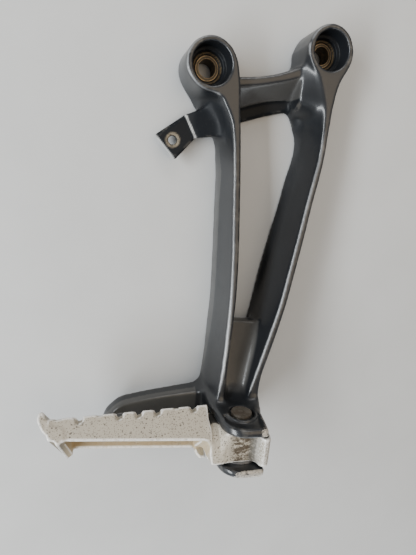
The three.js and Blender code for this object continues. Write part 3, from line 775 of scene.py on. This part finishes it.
def make_peg():
    grid = Grid((-116, -21, -29), (17, 22, 22), PEG_CELL)
    value = peg_field(grid).astype(np.float32)
    points, quads = surface(grid, value)
    bend = bend_of(grid, value, points, 6)
    along, across, up = peg_frame(*points.T)
    within = (across < PEG_NEAR_SIDE - 1) & (across > PEG_FAR_SIDE + 1)
    inner = within & (up < 9.5) & (along > PEG_ROOT + 1)
    far_wall = PEG_FAR_SIDE + PEG_WALL
    inner = inner | ((up < 2) & (across < far_wall + 1) & (across > far_wall - 0.4))
    rough = near(points, (0.5, 0, 11), (11, 30, 9))
    valley = near(points, (5, 0, 12.5), (3.4, 30, 6))
    lobe = near(points, (11, 0, 16), (6, 30, 8))
    return make_mesh("peg_casting", points + PIN, quads, {
        "edge": np.clip(bend * 4, 0, 1),
        "hollow": np.clip(-bend * 4, 0, 1),
        "inner": inner.astype(float),
        "rough": np.clip(rough * 2.5, 0, 1),
        "valley": np.clip(valley * 2, 0, 1),
        "lobe": np.clip(lobe * 2.5, 0, 1),
        "grease_and_painted_shade": peg_grease_and_painted_shade(points, inner, along),
    })


# ---------------------------------------------------------------- materials
class Look:
    """A Principled material and short ways to make the nodes that feed it."""

    def __init__(self, name):
        self.material = bpy.data.materials.new(name)
        self.material.use_nodes = True
        self.tree = self.material.node_tree
        self.shader = self.tree.nodes["Principled BSDF"]
        self.place = self.tree.nodes.new("ShaderNodeTexCoord").outputs["Object"]

    def link(self, source, socket):
        if isinstance(source, bpy.types.NodeSocket):
            self.tree.links.new(source, socket)
        else:
            socket.default_value = source

    def set(self, socket, source):
        self.link(source, self.shader.inputs[socket])

    def texture(self, kind, scale, turn=0.0):
        """A texture node in the object's place, of size 1 after the mapping."""
        mapping = self.tree.nodes.new("ShaderNodeMapping")
        self.link(self.place, mapping.inputs["Vector"])
        mapping.inputs["Scale"].default_value = scale
        mapping.inputs["Rotation"].default_value = (0, 0, turn)
        node = self.tree.nodes.new(kind)
        self.link(mapping.outputs["Vector"], node.inputs["Vector"])
        node.inputs["Scale"].default_value = 1
        return node

    def noise(self, size_mm, detail=3, roughness=0.55, stretch=(1, 1, 1), turn=0.0):
        """Noise with features of about the size. `turn` leans the stretch about z."""
        node = self.texture("ShaderNodeTexNoise", [s / (size_mm * MM) for s in stretch], turn)
        node.inputs["Detail"].default_value = detail
        node.inputs["Roughness"].default_value = roughness
        return node.outputs["Fac"]

    def spots(self, size_mm):
        """Distance from scattered points, 0 at each."""
        return self.texture("ShaderNodeTexVoronoi", [1 / (size_mm * MM)] * 3).outputs["Distance"]

    def ragged_spots(self, size_mm, noise_mm, low, high, strength):
        """Round marks with ragged edges, at some of the scattered points."""
        ragged = self.times(self.noise(noise_mm, 4, 0.7), -0.5)
        return self.ramp(self.math("ADD", self.spots(size_mm), ragged), low, high, strength, 0)

    def mask(self, name):
        node = self.tree.nodes.new("ShaderNodeAttribute")
        node.attribute_name = name
        return node.outputs["Fac"]

    def ramp(self, source, low, high, start=0.0, end=1.0):
        """A smooth step: start below low, end above high."""
        node = self.tree.nodes.new("ShaderNodeMapRange")
        node.interpolation_type = "SMOOTHSTEP"
        self.link(source, node.inputs["Value"])
        node.inputs["From Min"].default_value = low
        node.inputs["From Max"].default_value = high
        node.inputs["To Min"].default_value = start
        node.inputs["To Max"].default_value = end
        return node.outputs["Result"]

    def math(self, operation, a, b=0.0):
        node = self.tree.nodes.new("ShaderNodeMath")
        node.operation = operation
        self.link(a, node.inputs[0])
        self.link(b, node.inputs[1])
        return node.outputs[0]

    def times(self, a, b):
        return self.math("MULTIPLY", a, b)

    def ring(self, radius, middle, low, high, strength):
        """A line at one radius, soft between low and high beside it."""
        gap = self.math("ABSOLUTE", self.math("SUBTRACT", radius, middle))
        return self.ramp(gap, low, high, strength, 0)

    def vector_math(self, operation, a, b=(0, 0, 0)):
        node = self.tree.nodes.new("ShaderNodeVectorMath")
        node.operation = operation
        self.link(a, node.inputs[0])
        self.link(b, node.inputs[1])
        return node

    def mix(self, share, a, b):
        """Colour a where the share is 0, colour b where it is 1."""
        node = self.tree.nodes.new("ShaderNodeMix")
        node.data_type = "RGBA"
        self.link(share, node.inputs["Factor"])
        colors = [socket for socket in node.inputs if socket.type == "RGBA"]
        self.link(a, colors[0])
        self.link(b, colors[1])
        return next(socket for socket in node.outputs if socket.type == "RGBA")

    def bump(self, height, depth_mm, strength=1.0, under=None):
        node = self.tree.nodes.new("ShaderNodeBump")
        self.link(height, node.inputs["Height"])
        node.inputs["Distance"].default_value = depth_mm * MM
        node.inputs["Strength"].default_value = strength
        if under is not None:
            self.link(under, node.inputs["Normal"])
        return node.outputs["Normal"]


def rgb(red, green, blue):
    """An opaque colour in linear light."""
    return (red, green, blue, 1)


def black_paint():
    """Satin black paint with painted highlights on the ridges that look left and on the lug's edges, chipped
    ears, dusty faces with painted sheen on some, and matte recesses.
    """
    look = Look("satin_black_paint")
    cloud = look.noise(16, 3)
    dust_and_painted_sheen = look.ramp(look.noise(0.5, 2), 0.66, 0.76)
    paint = look.mix(cloud, rgb(0.008, 0.0092, 0.011), rgb(0.013, 0.0145, 0.017))
    paint = look.mix(look.times(dust_and_painted_sheen, 0.25), paint, rgb(0.16, 0.15, 0.14))
    paint = look.mix(look.times(look.mask("hollow"), 0.6), paint, rgb(0.012, 0.012, 0.012))
    worn = look.math("ADD", look.noise(1.1, 4, 0.7), look.times(look.mask("wear"), 0.43))
    scuff = look.ramp(worn, 0.78, 0.9)
    rub = look.times(look.ramp(look.mask("edge"), 0.5, 1), look.ramp(look.noise(5, 4), 0.5, 0.7))
    bare = look.math("MAXIMUM", scuff, look.times(rub, 0.12))
    metal = look.mix(look.noise(0.6, 3), rgb(0.62, 0.6, 0.55), rgb(0.25, 0.2, 0.14))
    paint = look.mix(bare, paint, metal)
    patchy = look.ramp(look.noise(1.2, 4, 0.7), 0.3, 0.55, 0.25, 1)
    paint = look.mix(look.times(look.mask("lug_ring"), patchy), paint, rgb(0.22, 0.185, 0.135))
    paint = look.mix(look.times(look.mask("brass"), patchy), paint, rgb(0.15, 0.105, 0.05))
    # grey where the sheen mask is: painted sheen of reflected light on the left arm's foot band, the cross
    # bar's face and the recessed floor, and grey on the finger
    painted_sheen_and_dust = look.times(look.mask("dust_and_painted_sheen"), look.ramp(look.noise(14, 3), 0.2, 0.7, 0.8, 1))
    paint = look.mix(painted_sheen_and_dust, paint, rgb(0.07, 0.068, 0.064))
    # painted highlight: near-white paint on the ridges that look left, where the key light would glint
    paint = look.mix(look.times(look.mask("ridge"), 0.92), paint, rgb(0.8, 0.81, 0.82))
    # painted highlight: light grey stripes along the lug's end edge and its bend
    line = look.times(look.mask("line"), look.ramp(look.noise(3, 3), 0.25, 0.5, 0.6, 1))
    paint = look.mix(line, paint, rgb(0.6, 0.6, 0.58))
    look.set("Base Color", paint)
    look.set("Metallic", look.times(scuff, 0.5))
    look.set("Roughness", look.ramp(look.math("ADD", cloud, look.times(scuff, 0.5)), 0.3, 1.2, 0.3, 0.6))
    look.set("Specular IOR Level", look.ramp(look.mask("matte"), 0, 1, 0.45, 0.08))
    look.set("Coat Weight", look.ramp(look.mask("matte"), 0, 1, 0.3, 0))
    look.set("Coat Roughness", 0.12)
    fine = look.bump(look.noise(0.9, 2), 0.05, 0.35)
    look.set("Normal", look.bump(scuff, 0.15, 0.8, fine))
    return look.material


def silver_paint():
    """Old silver paint: pitted, bright on its edges, brown inside, dirty and chipped at the knuckle, with
    painted shade in the knuckle's valley and gaps.
    """
    look = Look("worn_silver_paint")
    cloud = look.noise(9, 4)
    paint = look.mix(cloud, rgb(0.37, 0.33, 0.265), rgb(0.5, 0.455, 0.37))
    speck = look.ramp(look.noise(0.55, 3, 0.6), 0.55, 0.68)
    paint = look.mix(look.times(speck, 0.3), paint, rgb(0.38, 0.35, 0.29))
    large = look.ragged_spots(2.1, 3, -0.1, -0.03, 1)
    small = look.ragged_spots(0.85, 2.2, -0.03, 0.07, 0.8)
    pits = look.math("MAXIMUM", large, small)
    paint = look.mix(look.times(pits, 0.85), paint, rgb(0.085, 0.07, 0.052))
    # darker brown in hollows
    darker_in_hollows = look.times(look.ramp(look.mask("hollow"), 0.2, 0.9), 0.45)
    paint = look.mix(darker_in_hollows, paint, rgb(0.2, 0.17, 0.12))
    inner = look.times(look.mask("inner"), look.ramp(look.noise(4, 4), 0.25, 0.6, 0.45, 0.95))
    paint = look.mix(inner, paint, rgb(0.42, 0.33, 0.2))
    streak = look.noise(1.6, 5, 0.75, (0.45, 1, 1), STREAK_TURN)
    dirt = look.times(look.mask("rough"), look.ramp(streak, 0.4, 0.54))
    paint = look.mix(dirt, paint, rgb(0.075, 0.056, 0.036))
    # painted shade: darker grey in the valley between the knuckle's front and its lobe
    painted_valley_shade = look.times(look.mask("valley"), look.ramp(look.noise(1.6, 4), 0.2, 0.7, 1, 0.5))
    paint = look.mix(painted_valley_shade, paint, rgb(0.12, 0.115, 0.1))
    chips = look.times(look.mask("lobe"), look.ramp(look.noise(0.8, 4, 0.75), 0.47, 0.58, 0.9, 0))
    paint = look.mix(look.mask("lobe"), paint, rgb(0.62, 0.6, 0.55))
    paint = look.mix(chips, paint, rgb(0.2, 0.17, 0.12))
    # near-black: grease and painted shade on the faces in the ears' slot, painted shade in the channel's tip
    # and in the gap over the lobe
    grease_and_painted_shade = look.times(look.mask("grease_and_painted_shade"), look.ramp(look.noise(3, 3), 0.2, 0.5, 0.75, 1))
    paint = look.mix(grease_and_painted_shade, paint, rgb(0.02, 0.018, 0.015))
    bright = look.times(look.ramp(look.mask("edge"), 0.45, 1), look.ramp(look.noise(2, 3), 0.3, 0.6, 0.5))
    paint = look.mix(look.times(bright, 0.75), paint, rgb(0.86, 0.85, 0.82))
    look.set("Base Color", paint)
    look.set("Metallic", 0.15)
    look.set("Roughness", look.ramp(look.math("SUBTRACT", cloud, bright), -0.6, 1, 0.38, 0.72))
    dents = look.bump(pits, -0.25, 0.7)
    rough = look.bump(look.times(streak, look.mask("rough")), 0.6, 0.8, dents)
    look.set("Normal", look.bump(look.noise(0.7, 3), 0.08, 0.5, rough))
    return look.material


def steel(name, light, dark, roughness):
    """Bare steel, stained from the light to the dark colour."""
    look = Look(name)
    stain = look.noise(3.6, 4, 0.65)
    look.set("Base Color", look.mix(look.ramp(stain, 0.35, 0.65), light, dark))
    look.set("Metallic", 0.9)
    look.set("Roughness", look.ramp(stain, 0.2, 0.8, roughness - 0.1, roughness + 0.15))
    look.set("Normal", look.bump(look.noise(1.2, 3), 0.04, 0.5))
    return look.material


def sleeve_steel():
    """Dark steel with two worn rings. The radius comes from generated coordinates across the sleeve."""
    look = Look("sleeve_steel")
    generated = look.tree.nodes.new("ShaderNodeTexCoord").outputs["Generated"]
    centred = look.vector_math("SUBTRACT", generated, (0.5, 0.5, 0)).outputs["Vector"]
    width = SLEEVE_RADIUS * 2
    flat = look.vector_math("MULTIPLY", centred, (width, width, 0)).outputs["Vector"]
    radius = look.vector_math("LENGTH", flat).outputs["Value"]
    radius = look.math("ADD", radius, look.times(look.noise(2.5, 3), 0.35))
    inner = look.ring(radius, SLEEVE_INNER_RING, 0.05, 0.25, 0.7)
    outer = look.ring(radius, SLEEVE_OUTER_RING, 0.08, 0.3, 1)
    rings = look.times(look.math("MAXIMUM", inner, outer), look.ramp(look.noise(1.5, 4), 0.3, 0.6, 0.3, 1))
    base = look.mix(look.noise(1, 4, 0.7), rgb(0.035, 0.032, 0.028), rgb(0.1, 0.085, 0.06))
    look.set("Base Color", look.mix(rings, base, rgb(0.3, 0.215, 0.12)))
    look.set("Metallic", 0.7)
    look.set("Roughness", look.ramp(rings, 0, 1, 0.5, 0.35))
    look.set("Normal", look.bump(look.noise(0.8, 3), 0.05, 0.6))
    return look.material


# ---------------------------------------------------------------- small parts
def finish_node(name, material, bevel_mm=0.25):
    """A CAD piece keeps its shape; its edges are softened and it gets its material."""
    node = frame["nodes"][name]
    node.data.materials.clear()
    node.data.materials.append(material)
    node.data.shade_smooth()
    node.data.set_sharp_from_angle(angle=math.radians(35))
    if bevel_mm:
        bevel = node.modifiers.new("edges", "BEVEL")
        bevel.width = bevel_mm * MM
        bevel.segments = 3
        bevel.limit_method = "ANGLE"
        bevel.angle_limit = math.radians(40)
        bevel.harden_normals = True
    return node


# ---------------------------------------------------------------- scene
def stage():
    """A pale floor under the part."""
    size = 3.0
    corners = [(-size, -size, 0), (size, -size, 0), (size, size, 0), (-size, size, 0)]
    mesh = bpy.data.meshes.new("floor")
    mesh.from_pydata(corners, [], [(0, 1, 2, 3)])
    floor = bpy.data.objects.new("floor", mesh)
    bpy.context.scene.collection.objects.link(floor)
    look = Look("pale_floor")
    look.set("Base Color", look.mix(look.noise(40, 4), rgb(0.48, 0.485, 0.48), rgb(0.54, 0.545, 0.54)))
    look.set("Roughness", 0.5)
    mesh.materials.append(look.material)


def area_light(name, place, target, size, power, color):
    data = bpy.data.lights.new(name, "AREA")
    data.shape = "RECTANGLE"
    data.size, data.size_y = size
    data.energy = power
    data.color = color
    lamp = bpy.data.objects.new(name, data)
    bpy.context.scene.collection.objects.link(lamp)
    lamp.location = place
    lamp.rotation_euler = (Vector(target) - Vector(place)).to_track_quat("-Z", "Y").to_euler()


def light():
    """Soft studio light: a cool strip from the left, a warm panel overhead, weak fill from back and front."""
    world = bpy.data.worlds.new("studio")
    bpy.context.scene.world = world
    world.use_nodes = True
    background = world.node_tree.nodes["Background"]
    background.inputs["Color"].default_value = rgb(0.55, 0.56, 0.58)
    background.inputs["Strength"].default_value = 0.55
    middle = (0.02, -0.1, 0.02)
    area_light("key", (-0.8, -0.25, 0.6), middle, (1.3, 0.25), 22, (0.93, 0.97, 1))
    area_light("back", (0.1, 1.0, 0.7), middle, (0.8, 0.4), 5, (1, 0.98, 0.95))
    area_light("overhead", (0.42, 0.1, 1.0), middle, (0.9, 1.0), 5, (1, 0.8, 0.56))
    area_light("front", (0.3, -1.1, 0.2), middle, (1.2, 0.35), 5, (0.9, 0.96, 1))


def camera():
    """The photo's camera. The turn is an axis whose length is the angle."""
    data = bpy.data.cameras.new("camera")
    data.sensor_fit = "HORIZONTAL"
    data.sensor_width = 36
    data.lens = CAMERA_LENS
    data.clip_start = 0.01
    turn = Vector(CAMERA_TURN)
    eye = bpy.data.objects.new("camera", data)
    bpy.context.scene.collection.objects.link(eye)
    rotation = Matrix.Rotation(turn.length, 4, turn.normalized())
    eye.matrix_world = Matrix.Translation(CAMERA_PLACE) @ rotation
    bpy.context.scene.camera = eye


camera()
stage()
light()

casting = make_hanger()
casting.data.materials.append(black_paint())
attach(casting, "hanger")
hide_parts("hanger_bracket")

peg = make_peg()
peg.data.materials.append(silver_paint())
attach(peg, "peg")
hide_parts("folding_peg")

ringed_steel = sleeve_steel()
finish_node("left_boss_sleeve", ringed_steel, 0.5)
finish_node("right_boss_sleeve", ringed_steel, 0.5)
pin_steel = steel("pin_steel", rgb(0.34, 0.3, 0.25), rgb(0.18, 0.15, 0.12), 0.42)
finish_node("clevis_pin", pin_steel, 0.6)
finish_node("pin_washer", pin_steel, 0.25)
finish_node("split_pin", steel("rusty_steel", rgb(0.3, 0.2, 0.12), rgb(0.12, 0.07, 0.04), 0.6), 0)
spring_steel = steel("spring_steel", rgb(0.5, 0.5, 0.5), rgb(0.3, 0.29, 0.28), 0.35)
finish_node("click_plate", spring_steel, 0.1)
finish_node("detent_spring", spring_steel, 0)
finish_node("detent_ball", steel("polished_steel", rgb(0.8, 0.8, 0.8), rgb(0.6, 0.6, 0.6), 0.15), 0)
